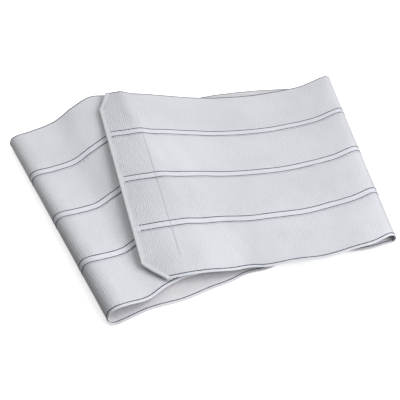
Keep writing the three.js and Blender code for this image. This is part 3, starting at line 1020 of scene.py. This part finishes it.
farRun = edgeRun(webs["farCorner"], sewing["farEdgeInset"], binding["farHides"])
nearRun = edgeRun(webs["nearCorner"], sewing["nearEdgeInset"], binding["nearHides"])
nearPlace = band["width"] - sewing["nearEdgeInset"]
farSewing = sewRows("farEdgeSewing", [
    (farRun, sewing["farEdgeInset"], depth) for depth in (-sewing["proud"], sewing["farBack"])],
    "blue", blueThread)
nearSewing = sewRows("nearEdgeSewing", [
    (nearRun, nearPlace, depth) for depth in (-sewing["proud"], sewing["nearBack"])],
    "near", blueThread)

# the hook patch is sewn on round its rim, in white
patchNear = hook["inset"] + hook["sewnEdge"]
patchDeep = hook["inset"] + hook["width"] - hook["sewnEdge"]
patchLow = webs["farCorner"][1] + hook["cornerGap"] + hook["sewnEdge"]
patchHigh = band["width"] - webs["nearCorner"][1] - hook["cornerGap"] - hook["sewnEdge"]
sideSteps, patchSteps = sewing["patchSteps"]
patchDepth = -sewing["patchProud"]
acrossRun = np.linspace(patchLow, patchHigh, patchSteps)
patchPaths = [(alongAt(place, acrossRun), acrossRun, patchDepth) for place in (patchDeep, patchNear)]
for side in (patchLow, patchHigh):
    sideRun = np.linspace(alongAt(patchDeep, side), alongAt(patchNear, side), sideSteps)
    patchPaths.append((sideRun, side, patchDepth))
patchSewing = sewRows("patchSewing", patchPaths, "white", whiteThread)
print("sewing:", [len(p.data.polygons) for p in (*sheetSewing.values(), farSewing, nearSewing, patchSewing)])

# ride and replace
everyPiece = [*webPieces, bindingPiece, hookPiece, *sheetSewing.values(), farSewing, nearSewing, patchSewing]
for piece in everyPiece:
    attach(piece, "root")
for number, piece in enumerate(webPieces):
    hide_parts("panel_%d" % (number + 1))
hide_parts("outer_end_binding")
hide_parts("hook_patch")

# stage, light and camera
stageSet = {
    "floorSize": 8.0,
    "floorColour": (0.95, 0.95, 0.95),
    "floorToLight": (0.28, 0.28, 0.28),      # what the floor gives back to the cloth
    "floorGlow": 0.55,
    "skyLow": 0.06,
    "skyHigh": 0.54,
    "skySide": (0.35, -0.1, 0.93),
    "skyRange": (-0.6, 1.0),
    "skyColour": (0.985, 0.99, 1.0, 1),
    "lights": (
        dict(name="key", place=(1.02, -0.42, 1.12), size=1.5, power=13.2, colour=(1, 1, 1)),
        dict(name="back", place=(-0.55, 0.75, 0.6), size=0.9, power=2.6, colour=(1.0, 0.955, 0.915)),
        dict(name="fill", place=(0.66, -1.05, 0.6), size=0.8, power=9.6, colour=(1, 1, 1)),
    ),
    "eye": 37.5,              # degrees above the floor
    "heading": 13.9,          # degrees from +Y towards +X that the camera looks
    "distance": 1.2755,
    "lens": 111.7,
}


def buildFloor():
    half = stageSet["floorSize"] / 2
    mesh = bpy.data.meshes.new("floor")
    corners = [(-half, -half, 0), (half, -half, 0), (half, half, 0), (-half, half, 0)]
    mesh.from_pydata(corners, [], [(0, 1, 2, 3)])
    floor = linkObject("floor", mesh)
    material, tree, shader = newMaterial("paleFloor", 0.9, specular=0.1)
    seen = tree.nodes.new("ShaderNodeLightPath").outputs["Is Camera Ray"]
    place = tree.nodes.new("ShaderNodeTexCoord").outputs["Object"]
    grain = rangeNode(tree, noiseNode(tree, place, 60, 3), 0, 1, 0.85, 0.95)
    tree.links.new(grain, shader.inputs["Roughness"])
    tree.links.new(mixColour(tree, seen, stageSet["floorToLight"], stageSet["floorColour"]),
                   shader.inputs["Base Color"])
    glowing = mixColour(tree, seen, (0.0, 0.0, 0.0), (1.0, 1.0, 1.0))
    tree.links.new(glowing, shader.inputs["Emission Color"])
    shader.inputs["Emission Strength"].default_value = stageSet["floorGlow"]
    mesh.materials.append(material)


def addLight(name, place, size, power, colour):
    # a disk that faces the part's origin
    data = bpy.data.lights.new(name, "AREA")
    data.shape = "DISK"
    data.size = size
    data.energy = power
    data.color = colour
    light = linkObject(name, data)
    light.location = place
    light.rotation_mode = "QUATERNION"
    light.rotation_quaternion = (-Vector(place)).to_track_quat("-Z", "Y")


buildFloor()
scene = bpy.context.scene
scene.world = bpy.data.worlds.new("studio")
scene.world.use_nodes = True
skyTree = scene.world.node_tree
sky = skyTree.nodes["Background"]
sky.inputs["Color"].default_value = stageSet["skyColour"]
# the room is brighter above the binder and to its right
facing = addNode(skyTree, "ShaderNodeTexCoord").outputs["Generated"]
towards = addNode(skyTree, "ShaderNodeVectorMath", {0: facing, 1: stageSet["skySide"]},
                  operation="DOT_PRODUCT")
glow = rangeNode(skyTree, towards.outputs["Value"], *stageSet["skyRange"],
                 stageSet["skyLow"], stageSet["skyHigh"])
skyTree.links.new(glow, sky.inputs["Strength"])
for light in stageSet["lights"]:
    addLight(**light)
scene.view_settings.view_transform = "Standard"

heading, eye = math.radians(stageSet["heading"]), math.radians(stageSet["eye"])
look = Vector((math.sin(heading) * math.cos(eye), math.cos(heading) * math.cos(eye), -math.sin(eye)))
target = Vector(band["moved"]) * 0.001
cameraData = bpy.data.cameras.new("camera")
cameraData.lens = stageSet["lens"]
cameraData.sensor_width = 36
camera = linkObject("camera", cameraData)
camera.location = target - look * stageSet["distance"]
camera.rotation_mode = "QUATERNION"
camera.rotation_quaternion = look.to_track_quat("-Z", "Y")
scene.camera = camera
print("stage ready")
